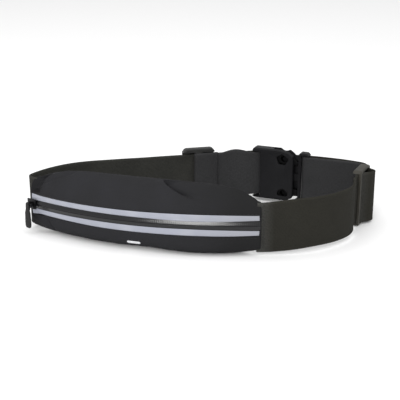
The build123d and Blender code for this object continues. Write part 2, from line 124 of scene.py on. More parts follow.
# ---- straps, as in the CAD: a run is a length, or an arc's (radius, turn) ----
WEB = 1.4
STRAP_WIDTH = 40.0
RETURN_WIDTH = 39.4
STRAP_TUCK = 2.4                # how far a strap's end reaches in between the panels
LAYER_GAP = 5.2
RIGHT_INSET, LEFT_INSET = 1.65, 4.9
RIGHT_FRONT_RUNS = [19.4, (73.5, 48.3), (26.8, 38.0), (19.3, -26.1)]
ADJUSTER_RUN = 35.6
RIGHT_BACK_RUNS = [(10.0, 77.5), (81.2, 14.3), 27.4]
LEFT_RUNS = [(6.0, -79.0), 2.3, (75.0, -48.0), 142.0]
GLIDE_LENGTH = 28.0
LEFT_GLIDE_FROM_BAR = 54.0
LOOP_WEB = 1.2
LOOP_RADIUS = 1.8
LOOP_REACH = 2.15
LEFT_LOOP_LEG, RIGHT_LOOP_LEG = 16.5, 11.0
ARCH_WEB = 1.0
FLAT_POINTS = 19                # points up each flat side of a strap's section

# ---- stitches: each kind's length, gap and radius come after where its rows lie ----
SEAM_HALF, SEAM_STEP = 18.6, 1.5
LOOP_ROWS, LOOP_ROW_HALF = (1.4, 4.0), 18.5
TOPSTITCH = (2.1, 0.9, 0.16)
SEAM_STITCH = (1.7, 0.25, 0.2)
LOOP_STITCH = (1.9, 0.7, 0.17)
# each ring of a stitch: share of its length, height and size, the last two in radii
STITCH_RINGS = ((0, -0.6, 0.35), (0.15, 0.1, 0.9), (0.5, 0.35, 1.0), (0.85, 0.1, 0.9), (1, -0.6, 0.35))
STITCH_SIDES = 6
TAG_SIDES = 36
GRIP_SIDES = 24

# ---- stage, in metres ----
FLOOR_HALF, FLOOR_FRONT, FLOOR_BACK = 6, -4, 12
WORLD_STRENGTH = 0.88
CAMERA_PLACE = (-0.00108, -0.70118, 0.2555)
CAMERA_TILT, CAMERA_LENS = 71.5, 81


# ================= plan lines =================


def polar(length, heading):
    return length * np.array([math.cos(math.radians(heading)), math.sin(math.radians(heading))])


def arc_point(angle, out=0.0):
    return ARC_CENTRE + polar(ZIP_RADIUS + out, angle)


def walk(point, heading, runs, step=1.5):
    """Points about every step along a plan line of runs, and the heading at each."""
    points, headings = [], []
    for run in runs:
        radius, turn = run if isinstance(run, tuple) else (None, 0.0)
        length = run if radius is None else radius * abs(math.radians(turn))
        side = 90 if turn > 0 else -90
        count = max(2, math.ceil(length / step))
        for part in np.linspace(0, 1, count + 1):
            if radius is None:
                place = point + polar(length * part, heading)
            else:
                centre = point + polar(radius, heading + side)
                place = centre + polar(radius, heading + turn * part - side)
            if part < 1:
                points.append(place)
                headings.append(heading + turn * part)
        point, heading = place, heading + turn
    return np.array(points + [point]), np.array(headings + [heading])


def lengths(points):
    """How far along the line each point is."""
    return np.concatenate([[0], np.cumsum(np.linalg.norm(np.diff(points, axis=0), axis=1))])


def at(place, along, rows):
    """The rows, known at each along, read at one place or at each of several."""
    return np.stack([np.interp(place, along, rows[:, i]) for i in range(rows.shape[1])], axis=-1)


def smooth(x, knots, values):
    """A smooth curve through the knots, read at x."""
    knots, values = np.asarray(knots, float), np.asarray(values, float)
    slopes = np.gradient(values, knots)
    slopes[0] = slopes[-1] = 0
    x = np.clip(x, knots[0], knots[-1])
    i = np.clip(np.searchsorted(knots, x) - 1, 0, len(knots) - 2)
    gap = knots[i + 1] - knots[i]
    t = (x - knots[i]) / gap
    return (values[i] * (1 + 2 * t) * (1 - t) ** 2 + slopes[i] * gap * t * (1 - t) ** 2
            + values[i + 1] * t * t * (3 - 2 * t) + slopes[i + 1] * gap * t * t * (t - 1))


def linear_step(x, start, end):
    """0 before start, 1 after end, and a straight rise between them."""
    return np.clip((x - start) / (end - start), 0, 1)


def bump(x, middle, reach):
    """A rounded hump: 1 at the middle and 0 from reach away."""
    return np.cos(np.clip((x - middle) / reach, -1, 1) * math.pi / 2) ** 2


# ================= materials =================


def linear(red, green, blue):
    """The shader's numbers for a colour given as 0 to 255 screen values."""
    return tuple(((c / 255 + 0.055) / 1.055) ** 2.4 for c in (red, green, blue))


class Finish:
    """A material whose nodes are added one call at a time."""

    def __init__(self, name, colour, roughness, metallic=0.0, specular=0.5):
        self.material = bpy.data.materials.new(name)
        self.material.use_nodes = True
        self.tree = self.material.node_tree
        self.shader = self.tree.nodes["Principled BSDF"]
        self.colour = colour
        self.shader.inputs["Base Color"].default_value = (*colour, 1)
        self.shader.inputs["Roughness"].default_value = roughness
        self.shader.inputs["Metallic"].default_value = metallic
        self.shader.inputs["Specular IOR Level"].default_value = specular

    def link(self, socket, value):
        """Links another node's output, or sets a plain number."""
        if isinstance(value, bpy.types.NodeSocket):
            self.tree.links.new(value, socket)
        else:
            socket.default_value = value

    def math(self, operation, a, b=0.0):
        node = self.tree.nodes.new("ShaderNodeMath")
        node.operation = operation
        self.link(node.inputs[0], a)
        self.link(node.inputs[1], b)
        return node.outputs[0]

    def plan(self):
        """Along, across and side, in millimetres, from the mesh's own record of them."""
        attribute = self.tree.nodes.new("ShaderNodeAttribute")
        attribute.attribute_name = "plan"
        split = self.tree.nodes.new("ShaderNodeSeparateXYZ")
        self.tree.links.new(attribute.outputs["Vector"], split.inputs[0])
        return split.outputs

    def noise(self, scale, detail=2.0, vector=None):
        """Mottling of about 1/scale metres, or 1/scale millimetres with a plan vector."""
        node = self.tree.nodes.new("ShaderNodeTexNoise")
        node.inputs["Scale"].default_value = scale
        node.inputs["Detail"].default_value = detail
        if vector is None:
            place = self.tree.nodes.new("ShaderNodeTexCoord")
            vector = place.outputs["Object"]
        self.tree.links.new(vector, node.inputs["Vector"])
        return node.outputs["Fac"]

    def ripple(self, value, pitch):
        return self.math("SINE", self.math("MULTIPLY", value, 2 * math.pi / pitch))

    def range(self, value, low, high, to_low, to_high):
        node = self.tree.nodes.new("ShaderNodeMapRange")
        for socket, number in zip(node.inputs[1:5], (low, high, to_low, to_high)):
            socket.default_value = number
        self.link(node.inputs[0], value)
        return node.outputs[0]

    def blend_to(self, colour, factor):
        """Mixes the base colour towards another one."""
        mix = self.tree.nodes.new("ShaderNodeMix")
        mix.data_type = "RGBA"
        self.link(mix.inputs["Factor"], factor)
        base = self.shader.inputs["Base Color"]
        if base.is_linked:
            self.tree.links.new(base.links[0].from_socket, mix.inputs["A"])
        else:
            mix.inputs["A"].default_value = (*self.colour, 1)
        mix.inputs["B"].default_value = (*colour, 1)
        self.tree.links.new(mix.outputs["Result"], base)

    def relief(self, height, distance, strength=1.0):
        """Height, about 0 to 1, stands for distance in metres."""
        node = self.tree.nodes.new("ShaderNodeBump")
        node.inputs["Strength"].default_value = strength
        node.inputs["Distance"].default_value = distance
        normal = self.shader.inputs["Normal"]
        if normal.is_linked:
            self.tree.links.new(normal.links[0].from_socket, node.inputs["Normal"])
        self.link(node.inputs["Height"], height)
        self.tree.links.new(node.outputs["Normal"], normal)


def fabric_finish():
    """Fine knit, with painted shade towards both ends of the pouch."""
    finish = Finish("panel fabric", linear(36, 36, 38), 0.8, specular=0.12)
    along, across, _ = finish.plan()
    finish.blend_to(linear(39, 39, 42), finish.range(finish.noise(45.0, 3.0), 0.35, 0.7, 0.0, 0.8))
    # painted shade: darker towards the right end, where the light from the front left falls off
    finish.blend_to(linear(26, 26, 26), finish.range(along, 120.0, 175.0, 0.0, 0.8))
    # painted shade: darker at the left end, for the shadow in its hollow; the end caps take it too
    finish.blend_to(linear(22, 22, 23), finish.range(along, 3.0, 16.0, 0.8, 0.0))
    knit = finish.math("MULTIPLY", finish.ripple(along, 0.62), finish.ripple(across, 0.55))
    finish.blend_to(linear(28, 28, 30), finish.range(knit, 0.2, 1.0, 0.0, 0.35))
    finish.relief(knit, 0.00006, 0.6)
    finish.relief(finish.noise(900.0, 3.0), 0.00012, 0.5)
    return finish.material


def shade(colour, factor):
    return tuple(factor * c for c in colour)


def webbing_finish(name, colour, other, end_colour):
    """Elastic webbing: fine ribs along it, slanting picks across them, plainer selvedges."""
    finish = Finish(name, colour, 0.85, specular=0.12)
    along, across, _ = finish.plan()
    finish.blend_to(other, finish.range(finish.noise(38.0, 3.0), 0.4, 0.68, 0.0, 0.7))
    if end_colour is not None:
        finish.blend_to(end_colour, finish.range(along, 4.0, 13.0, 0.9, 0.0))
    ribs = finish.ripple(across, 1.25)
    slant = finish.math("ADD", along, finish.math("MULTIPLY", across, 0.55))
    picks = finish.ripple(slant, 1.05)
    weave = finish.math("MULTIPLY", ribs, picks)
    finish.blend_to(shade(colour, 0.4), finish.range(weave, 0.0, 1.0, 0.0, 0.75))
    finish.blend_to(shade(colour, 1.7), finish.range(weave, -1.0, -0.3, 0.55, 0.0))
    finish.blend_to(shade(colour, 0.6), finish.range(finish.noise(900.0, 2.0), 0.45, 0.7, 0.0, 0.5))
    edge = finish.range(finish.math("ABSOLUTE", across), 18.2, 18.6, 0.0, 1.0)
    body = finish.math("SUBTRACT", 1.0, edge)
    finish.relief(finish.math("MULTIPLY", weave, body), 0.0002, 1.0)
    finish.relief(finish.math("MULTIPLY", finish.ripple(along, 1.1), edge), 0.0001, 0.7)
    finish.relief(finish.noise(700.0, 3.0), 0.0001, 0.4)
    return finish.material


def film_finish():
    """Glossy laminate with a faint rib for each tooth behind it."""
    finish = Finish("zipper film", linear(8, 8, 10), 0.19, specular=0.36)
    ribs = finish.ripple(finish.plan()[0], RIB_PITCH)
    finish.blend_to(linear(34, 35, 38), finish.range(ribs, 0.0, 1.0, 0.0, 0.5))
    finish.shader.inputs["Coat Weight"].default_value = 0.1
    finish.shader.inputs["Coat Roughness"].default_value = 0.18
    finish.relief(finish.noise(300.0, 2.0), 0.0001, 0.3)
    return finish.material


def reflective_finish():
    """Silver print of small beads, with painted shade towards the right end."""
    finish = Finish("reflective strip", linear(148, 151, 162), 0.45, metallic=0.2)
    along, across, _ = finish.plan()
    beads = finish.math("MULTIPLY", finish.ripple(along, 0.7), finish.ripple(across, 0.7))
    finish.blend_to(linear(136, 138, 149), finish.range(beads, 0.2, 1.0, 0.0, 0.35))
    finish.blend_to(linear(164, 166, 173), finish.range(finish.noise(60.0, 2.0), 0.45, 0.7, 0.0, 0.5))
    # painted shade: darker towards the right end, where the light from the front left falls off
    finish.blend_to(linear(140, 141, 146), finish.range(along, 130.0, 185.0, 0.0, 0.6))
    finish.relief(beads, 0.00004, 0.5)
    return finish.material


def plastic_finish(name, colour, roughness, specular=0.3):
    finish = Finish(name, colour, roughness, specular=specular)
    grain = finish.noise(2600.0, 2.0)
    mottle = finish.range(finish.noise(120.0, 3.0), 0.45, 0.75, 0.0, 0.5)
    finish.blend_to(shade(colour, 1.35), mottle)
    finish.relief(grain, 0.00003, 0.5)
    return finish.material


def rubber_finish():
    finish = Finish("pull rubber", linear(20, 20, 20), 0.6, specular=0.3)
    finish.blend_to(linear(30, 30, 30), finish.range(finish.noise(400.0, 2.0), 0.4, 0.7, 0.0, 0.5))
    finish.relief(finish.noise(1500.0, 2.0), 0.00004, 0.5)
    return finish.material


def metal_finish():
    finish = Finish("slider metal", linear(38, 38, 40), 0.34, metallic=0.85)
    finish.blend_to(linear(24, 24, 26), finish.range(finish.noise(500.0, 3.0), 0.4, 0.7, 0.0, 0.6))
    finish.relief(finish.noise(1800.0, 2.0), 0.00002, 0.4)
    return finish.material


def thread_finish():
    finish = Finish("thread", linear(34, 34, 35), 0.7, specular=0.2)
    finish.blend_to(linear(48, 48, 48), finish.range(finish.noise(1500.0, 2.0), 0.4, 0.7, 0.0, 0.6))
    return finish.material


def tag_finish():
    finish = Finish("tag", linear(214, 215, 218), 0.5)
    finish.blend_to(linear(190, 191, 195), finish.range(finish.noise(900.0, 2.0), 0.4, 0.7, 0.0, 0.5))
    return finish.material


PANEL = fabric_finish()
WEBBING = webbing_finish("webbing", linear(43, 42, 37), linear(37, 36, 32), linear(66, 66, 64))
WEBBING_BACK = webbing_finish("webbing back", linear(50, 50, 47), linear(60, 60, 56), None)
RETURN = webbing_finish("webbing return", linear(55, 55, 56), linear(49, 49, 50), None)
FILM = film_finish()
REFLECTIVE = reflective_finish()
BUCKLE = plastic_finish("buckle plastic", linear(19, 19, 21), 0.5, 0.15)
# painted shade: the prongs are made near-black, darker than the buckle plastic, for the shade in the
# buckle's gap
PRONG_PAINTED_SHADE = plastic_finish("prong plastic, painted shade", linear(6, 6, 7), 0.6, 0.1)
# black plastic, made darker than the female half with painted shade for the gap between the halves
MALE_PAINTED_SHADE = plastic_finish("male buckle plastic, painted shade", linear(14, 14, 16), 0.5, 0.15)
GLIDE = plastic_finish("glide plastic", linear(27, 27, 26), 0.5)
# painted light: the right adjuster is a lighter copy of the glide plastic, for its end bar catching the
# light
GLIDE_RIGHT_LIT = plastic_finish("right glide plastic, painted light", linear(50, 48, 42), 0.6)
RUBBER = rubber_finish()
METAL = metal_finish()
THREAD = thread_finish()
TAG = tag_finish()


# ================= meshes =================


def mesh_object(name, points, faces, material, plan=None):
    """An object of points in millimetres; plan is each point's place on the cloth."""
    mesh = bpy.data.meshes.new(name)
    mesh.from_pydata([tuple(float(c) * MM for c in p) for p in points], [], faces)
    mesh.materials.append(material)
    if plan is not None:
        attribute = mesh.attributes.new("plan", "FLOAT_VECTOR", "POINT")
        attribute.data.foreach_set("vector", np.asarray(plan, np.float32).ravel())
    mesh.shade_smooth()
    mesh.update()
    obj = bpy.data.objects.new(name, mesh)
    bpy.context.scene.collection.objects.link(obj)
    return obj


def grid_faces(rows, columns, closed=False, start=0):
    """Quads of a grid of points stored row after row; closed joins the last column to the first."""
    faces = []
    last = columns if closed else columns - 1
    for row in range(rows - 1):
        for column in range(last):
            a = start + row * columns + column
            b = start + row * columns + (column + 1) % columns
            faces.append((a, b, b + columns, a + columns))
    return faces


def flipped(faces):
    return [tuple(reversed(face)) for face in faces]


def tube_faces(rings, sides, start=0):
    """Faces of a closed tube of points stored ring after ring, with one over each end."""
    faces = grid_faces(rings, sides, closed=True, start=start)
    end = start + rings * sides
    faces.append(tuple(range(end - sides, end)))
    faces.append(tuple(reversed(range(start, start + sides))))
    return faces


def normals_of(grid):
    """The unit normal at each point of a grid (rows, columns, 3)."""
    normal = np.cross(np.gradient(grid, axis=1), np.gradient(grid, axis=0))
    return normal / np.maximum(np.linalg.norm(normal, axis=2, keepdims=True), 1e-9)


def shell(name, grid, plan, thickness, material, flip=False):
    """A closed skin: the grid is its outer face and the inner face lies thickness behind it."""
    rows, columns, _ = grid.shape
    normal = normals_of(grid) * (-1 if flip else 1)
    inner = grid - normal * thickness
    points = np.concatenate([grid.reshape(-1, 3), inner.reshape(-1, 3)])
    count = rows * columns
    outer_faces = grid_faces(rows, columns)
    inner_faces = [tuple(count + i for i in reversed(face)) for face in outer_faces]
    rim = [(0, j) for j in range(columns)]
    rim += [(i, columns - 1) for i in range(1, rows)]
    rim += [(rows - 1, j) for j in range(columns - 2, -1, -1)]
    rim += [(i, 0) for i in range(rows - 2, 0, -1)]
    ring = [i * columns + j for i, j in rim]
    edge_faces = []
    for a, b in zip(ring, ring[1:] + ring[:1]):
        edge_faces.append((b, a, count + a, count + b))
    faces = outer_faces + inner_faces + edge_faces
    if flip:
        faces = flipped(faces)
    plan = np.asarray(plan).reshape(-1, 3)
    return mesh_object(name, points, faces, material, np.concatenate([plan, plan]))


def noise_grid(grid, size, seed):
    """Smooth noise, about -1 to 1, over a grid of points; size is its scale in millimetres."""
    offset = Vector((seed, 2.3 * seed, -1.7 * seed))
    flat = [noise.noise(Vector(p) / size + offset) for p in grid.reshape(-1, 3)]
    return np.array(flat).reshape(grid.shape[:2])


# ================= pouch =================

ANGLES = np.linspace(POUCH_LEFT, POUCH_RIGHT, 260)
DEGREE = math.radians(1) * ZIP_RADIUS       # millimetres along the zipper for each degree


def pouch_sizes(angle):
    """Thickness, ridge height and underside height at each angle, between straight and smooth."""
    knots = POUCH_SECTIONS[:, 0]
    return [np.interp(angle, knots, POUCH_SECTIONS[:, i]) * 0.35
            + smooth(angle, knots, POUCH_SECTIONS[:, i]) * 0.65 for i in (1, 2, 3)]


def bezier(a, b, c, d, w):
    """Cubic curves for arrays of control values, read at each w: shape (angles, w)."""
    a, b, c, d = (np.asarray(v)[:, None] * np.ones_like(w)[None, :] for v in (a, b, c, d))
    u = 1 - w[None, :]
    w = w[None, :]
    return a * u ** 3 + 3 * b * u * u * w + 3 * c * u * w * w + d * w ** 3


def from_polar(out, height, angles=ANGLES):
    """Row-frame points of a grid given as distance out from the zipper's arc, and height."""
    turn = np.radians(angles)[:, None]
    radius = ZIP_RADIUS + out
    x = ARC_CENTRE[0] + radius * np.cos(turn)
    y = ARC_CENTRE[1] + radius * np.sin(turn)
    return np.stack([x, y, height], axis=2)


def surface_plan(grid):
    """Along the zipper, and across the panel from its first edge, in millimetres."""
    steps = np.linalg.norm(np.diff(grid, axis=1), axis=2)
    across = np.concatenate([np.zeros((len(grid), 1)), np.cumsum(steps, axis=1)], axis=1)
    along = np.broadcast_to(((ANGLES - POUCH_LEFT) * DEGREE)[:, None], across.shape)
    return np.stack([along, across, np.zeros_like(across)], axis=2)


def pressed(w, start, end, reach, across=30.0):
    """How near each grid point is to a line from start to end, each (angle, w): 1 on it, 0 far off.
    across is the panel's width, which w goes over from 0 to 1."""
    along = ANGLES[:, None] * DEGREE
    up = w[None, :] * across
    a = np.array([start[0] * DEGREE, start[1] * across])
    b = np.array([end[0] * DEGREE, end[1] * across])
    line = b - a
    t = np.clip(((along - a[0]) * line[0] + (up - a[1]) * line[1]) / (line @ line), 0, 1)
    near_x = along - (a[0] + t * line[0])
    near_y = up - (a[1] + t * line[1])
    return np.exp(-(near_x ** 2 + near_y ** 2) / reach ** 2)


thickness, ridge, under = pouch_sizes(ANGLES)
zeros = np.zeros_like(ANGLES)
end_fade = np.clip(np.minimum(ANGLES - POUCH_LEFT, POUCH_RIGHT - ANGLES) / 2.5, 0, 1)[:, None]

# the upper panel, from the zipper's tape up and back to the ridge
w_up = np.linspace(0, 1, 46)
upper_edge = MID_Z + TAPE_REACH - EDGE_LAP
rise = ridge - upper_edge
up_out = bezier(zeros + PANEL_OUT, zeros + 0.5, -0.5 * thickness, -RIDGE_BACK * thickness, w_up)
up_height = bezier(zeros + upper_edge, upper_edge + 0.40 * rise, ridge - 0.03 * rise, ridge, w_up)
upper = from_polar(up_out, up_height)
seam_fade = np.clip(np.minimum(w_up / 0.12, (1 - w_up) / 0.06), 0, 1)[None, :]
outward = -normals_of(upper)
slack = 0.75 * noise_grid(upper, 26.0, 4.0) + 0.28 * noise_grid(upper, 9.0, 7.0)
# the dimple: steep on its left along a crescent, and rising slowly to the right of it
crescent = DIMPLE_ANGLE + DIMPLE_SWEEP * (1 - w_up) ** 2
past_edge = (ANGLES[:, None] - crescent[None, :]) * DEGREE
past_wall = np.maximum(past_edge - DIMPLE_WALL[1], 0)
dimple = DIMPLE_DEPTH * linear_step(past_edge, *DIMPLE_WALL) * np.exp(-past_wall / DIMPLE_FADE)
dimple = dimple * linear_step(w_up, *DIMPLE_RISE)[None, :]
# the dimple's lip, and at the left end a hollow with folds running into it
lip = 0.9 * pressed(w_up, (-103.4, 0.80), (-101.6, 0.52), 2.0)
hollow = 3.4 * pressed(w_up, (-127.3, 0.15), (-126.4, 0.95), 3.6)
fold = (1.0 * pressed(w_up, (-121.6, 1.0), (-126.8, 0.60), 1.9)
        + 0.7 * pressed(w_up, (-122.5, 0.62), (-127.4, 0.30), 1.7)
        - 0.9 * pressed(w_up, (-121.0, 0.86), (-125.6, 0.46), 1.8))
slack = slack * seam_fade * end_fade
slack = slack + (lip + fold - dimple - hollow) * seam_fade
puckers = np.sin((ANGLES - POUCH_LEFT)[:, None] * DEGREE / PUCKER_PITCH * 2 * math.pi) * PUCKER_HEIGHT
slack = slack + puckers * np.exp(-w_up[None, :] / 0.12) * seam_fade
upper = upper + outward * slack[:, :, None]
upper_panel = shell("pouch_upper_cloth", upper, surface_plan(upper), SKIN, PANEL, flip=True)

# the back panel, from the ridge down to the underside
w_back = np.linspace(0, 1, 34)
back_knots = [0, 0.08, 0.3, 0.5, 0.7, 0.94, 1]
back_shares = np.array([-RIDGE_BACK, -0.985, -1.02, -1.03, -1.02, -0.98, -UNDER_BACK])
back_out = np.stack([smooth(w_back, back_knots, back_shares * t) for t in thickness])
drop = ridge - under
back_height = np.stack([smooth(w_back, [0, 0.08, 0.94, 1], [r, r - 0.08 * d, u + 0.05 * d, u])
                        for r, d, u in zip(ridge, drop, under)])
back = from_polar(back_out, back_height)
seam_back = np.clip(np.minimum(w_back, 1 - w_back) / 0.1, 0, 1)[None, :]
back_slack = 0.7 * noise_grid(back, 24.0, 11.0) + 0.25 * noise_grid(back, 8.0, 13.0)
back_slack = back_slack * seam_back * end_fade
back = back + (-normals_of(back)) * back_slack[:, :, None]
back_panel = shell("pouch_back_cloth", back, surface_plan(back), SKIN, PANEL, flip=True)

# the lower panel, from the zipper's tape down and under
w_low = np.linspace(0, 1, 38)
low_edge = MID_Z - TAPE_REACH + EDGE_LAP
fall = low_edge - under
belly = BELLY_OUT * bump(ANGLES, BELLY_ANGLE, BELLY_REACH)
low_out = bezier(zeros + PANEL_OUT, 0.9 + 0.25 * belly, belly - 0.16 * thickness,
                 -UNDER_BACK * thickness, w_low)
low_height = bezier(zeros + low_edge, low_edge - 0.62 * fall, under - 0.02 * fall, under, w_low)
lower = from_polar(low_out, low_height)
seam_low = np.clip(np.minimum(w_low / 0.12, (1 - w_low) / 0.1), 0, 1)[None, :]
low_slack = 0.6 * noise_grid(lower, 24.0, 17.0) + 0.25 * noise_grid(lower, 8.0, 19.0)
low_slack = low_slack * seam_low * end_fade
roll = pressed(w_low, (-128.0, 0.12), (-125.3, 0.28), 2.4, 22.0)
groove = pressed(w_low, (-124.9, 0.06), (-123.9, 0.45), 1.9, 22.0)
low_slack = low_slack + (1.0 * roll - 1.5 * groove) * seam_low
low_slack = low_slack + puckers * np.exp(-w_low[None, :] / 0.12) * seam_low
lower = lower + normals_of(lower) * low_slack[:, :, None]
lower[:, :, 2] = np.maximum(lower[:, :, 2], 0.02)
lower_panel = shell("pouch_lower_cloth", lower, surface_plan(lower), SKIN, PANEL)

for panel, node in ((upper_panel, "pouch_upper_panel"), (back_panel, "pouch_back_panel"),
                    (lower_panel, "pouch_lower_panel")):
    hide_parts(node)
    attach(panel, "root")


# each ring of an end's rounded fold: how far out it is, and its size against the pouch's section
END_RINGS = ((-0.9, 1.0), (0.0, 1.0), (0.35, 0.97), (0.6, 0.9), (0.7, 0.75), (0.7, 0.2))


def end_cap(name, row, sideways):
    """Closes the pouch's end with a rounded fold of the same cloth."""
    zipper_end = np.array([[*arc_point(ANGLES[row]), MID_Z]])
    outline = np.concatenate([lower[row][::-1], zipper_end, upper[row], back[row][1:-1]])
    middle = outline.mean(axis=0)
    direction = np.array([*polar(1, ANGLES[row] + 90 * sideways), 0])
    rings, plan = [], []
    for depth, size in END_RINGS:
        ring = middle + (outline - middle) * np.array([size, size, 1 - (1 - size) * 0.25])
        rings.append(ring + direction * depth)
        # the caps' plan puts along near 0, so they take the panels' painted shade of the left end
        plan.append(np.stack([np.full(len(outline), depth), outline[:, 2], outline[:, 0] * 0], axis=1))
    faces = tube_faces(len(rings), len(outline))
    if sideways < 0:
        faces = flipped(faces)
    cap = mesh_object(name, np.concatenate(rings), faces, PANEL, np.concatenate(plan))
    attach(cap, "root")


end_cap("pouch_left_end", 0, -1)
end_cap("pouch_right_end", -1, 1)

# ================= zipper =================

ZIP_ANGLES = np.linspace(POUCH_LEFT, POUCH_RIGHT, 860)
zip_along = (ZIP_ANGLES - POUCH_LEFT) * DEGREE
strip_edge = [smooth(ZIP_ANGLES, STRIP_EDGES[:, 0], STRIP_EDGES[:, i]) for i in range(1, 5)]


def film_out(height):
    """How far the film stands out of the arc at a height up or down from the zipper's middle."""
    slope = np.sqrt(height ** 2 + FILM_ROUND ** 2) - FILM_ROUND
    slit = 0.2 * np.exp(-(height / 0.3) ** 2)
    return FILM_BULGE * np.clip(1 - slope / (FILM_REACH - FILM_ROUND), 0, 1) - slit


for side, name in ((1, "upper"), (-1, "lower")):
    # the tape with its film, from the slit to the panel's edge
    reach = np.concatenate([np.linspace(0.1, 1.2, 8), np.linspace(1.6, 4.4, 12),
                            np.linspace(5.0, TAPE_REACH, 6)])
    teeth = np.sin(zip_along / RIB_PITCH * 2 * math.pi)[:, None]
    out = film_out(reach)[None, :] + RIB_HEIGHT * teeth * bump(reach, 1.7, 1.7)[None, :]
    tape = from_polar(out, MID_Z + side * reach[None, :] + out * 0, ZIP_ANGLES)
    plan = np.stack(np.broadcast_arrays(zip_along[:, None], side * reach[None, :], 0.0), axis=2)
    cloth = shell(f"zipper_film_{name}", tape, plan, FILM_THICK, FILM, flip=side > 0)
    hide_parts(f"zipper_tape_{name}")
    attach(cloth, "root")

    # the reflective strip bonded over the tape's edge
    inner_edge, outer_edge = strip_edge[:2] if side > 0 else strip_edge[2:]
    share = np.concatenate([[0.0], np.linspace(0.0, 1.0, 9), [1.0]])
    height = inner_edge[:, None] + (outer_edge - inner_edge)[:, None] * share[None, :]
    dome = np.concatenate([[0.0], 0.85 + 0.15 * bump(np.linspace(0, 1, 9), 0.5, 0.5), [0.0]])
    base = np.maximum(film_out(height), 0.0)
    end_round = np.clip(np.minimum(zip_along, zip_along[-1] - zip_along) / 1.2, 0, 1)[:, None] ** 0.5
    out = base + STRIP_THICK * dome[None, :] * end_round
    strip_grid = from_polar(out, MID_Z + side * height, ZIP_ANGLES)[::4]
    plan = np.stack(np.broadcast_arrays(zip_along[:, None], side * height, 0.0), axis=2)[::4]
    strip = shell(f"reflective_band_{name}", strip_grid, plan, STRIP_BACKING, REFLECTIVE, flip=side > 0)
    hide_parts(f"reflective_strip_{name}")
    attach(strip, "root")

# ================= straps =================


def ribbon(name, line, width, thick, material, lift):
    """A strap that follows a plan line, upright, with rounded edges and slightly thicker selvedges.
    lift takes the lengths along it, and gives how far its lower and upper edges are raised."""
    tangent = np.gradient(line, axis=0)
    tangent /= np.linalg.norm(tangent, axis=1, keepdims=True)
    side = np.stack([tangent[:, 1], -tangent[:, 0]], axis=1)
    along = lengths(line)
    half, radius = width / 2, thick / 2
    flat = np.linspace(-half + radius, half - radius, FLAT_POINTS)
    selvedge = 1 + 0.12 * np.exp(-((half - np.abs(flat)) / 1.6) ** 4)
    corner = [(radius * math.cos(t), radius * math.sin(t)) for t in np.radians((45, 90, 135))]
    outline = [(radius * s, z) for z, s in zip(flat, selvedge)]
    outline += [(x, half - radius + z) for x, z in corner]
    outline += [(-x, z) for x, z in reversed(outline[:FLAT_POINTS])]
    outline += [(-x, -half + radius - z) for x, z in corner]
    outline = np.array(outline)
    raised = lift(along)
    share = (outline[:, 1] / half + 1) / 2
    heights = MID_Z + outline[None, :, 1]
    heights = heights + raised[:, :1] * (1 - share)[None, :] + raised[:, 1:] * share[None, :]
    wave = np.array([[0.22 * noise.noise(Vector((s / 21.0, z / 30.0, 3.0))) for z in outline[:, 1]]
                     for s in along])
    across = outline[None, :, 0] + wave
    xy = line[:, None, :] + side[:, None, :] * across[:, :, None]
    grid = np.concatenate([xy, heights[:, :, None]], axis=2)
    plan = np.stack(np.broadcast_arrays(along[:, None], outline[None, :, 1], outline[None, :, 0]), axis=2)
    faces = flipped(tube_faces(len(line), len(outline)))
    return mesh_object(name, grid.reshape(-1, 3), faces, material, plan.reshape(-1, 3))


def edge_wander(seed, amount=0.35):
    """Slow up-and-down wandering of a strap's lower and upper edges."""
    def lift(along):
        low = [amount * noise.noise(Vector((s / 30.0, seed, 0.0))) for s in along]
        high = [amount * noise.noise(Vector((s / 34.0, seed, 9.0))) for s in along]
        return np.stack([low, high], axis=1)
    return lift


# the right strap: pouch, round the side, adjuster, buckle
right_start = arc_point(POUCH_RIGHT, -RIGHT_INSET) - polar(STRAP_TUCK, POUCH_RIGHT + 90)
runs_to_adjuster = [STRAP_TUCK] + RIGHT_FRONT_RUNS
right_runs = runs_to_adjuster + [ADJUSTER_RUN] + RIGHT_BACK_RUNS
right_line, right_headings = walk(right_start, POUCH_RIGHT + 90, right_runs)
right_along = lengths(right_line)
right_out = np.array([polar(1, h - 90) for h in right_headings])
front_line, front_headings = walk(right_start, POUCH_RIGHT + 90, runs_to_adjuster)
run_start_along = lengths(front_line)[-1]
run_start, run_heading = front_line[-1], front_headings[-1]
right_glide = run_start + polar(ADJUSTER_RUN - GLIDE_LENGTH / 2, run_heading)
right_glide_along = run_start_along + ADJUSTER_RUN - GLIDE_LENGTH / 2
male_end, buckle_heading = right_line[-1], right_headings[-1]

# the left strap: pouch, corner, shoulder, adjuster, buckle
left_start = arc_point(POUCH_LEFT, -LEFT_INSET) - polar(STRAP_TUCK, POUCH_LEFT - 90)
left_runs = [STRAP_TUCK, (ZIP_RADIUS - LEFT_INSET, -1.0)] + LEFT_RUNS
left_line, left_headings = walk(left_start, POUCH_LEFT - 90, left_runs)
left_along = lengths(left_line)
left_out = np.array([polar(1, h + 90) for h in left_headings])
left_end, left_heading = left_line[-1], left_headings[-1]
left_glide = left_end + polar(LEFT_GLIDE_FROM_BAR, left_heading + 180)
left_glide_along = left_along[-1] - LEFT_GLIDE_FROM_BAR


def right_lift(along):
    """The right strap starts a little low at the pouch and bunches up at its adjuster."""
    high = -2.4 * bump(along, 0.0, 36.0) + 2.4 * bump(along, run_start_along - 13.0, 13.0)
    low = -1.9 * bump(along, 6.0, 44.0)
    return np.stack([low, high], axis=1) + edge_wander(2.0)(along)


right_strap = ribbon("right_webbing", right_line, STRAP_WIDTH, WEB, WEBBING, right_lift)
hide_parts("right_front_strap", "right_back_strap")
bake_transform(right_strap)

left_strap = ribbon("left_webbing", left_line, STRAP_WIDTH, WEB, WEBBING_BACK, edge_wander(5.0))
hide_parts("left_strap")
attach(left_strap, "root")


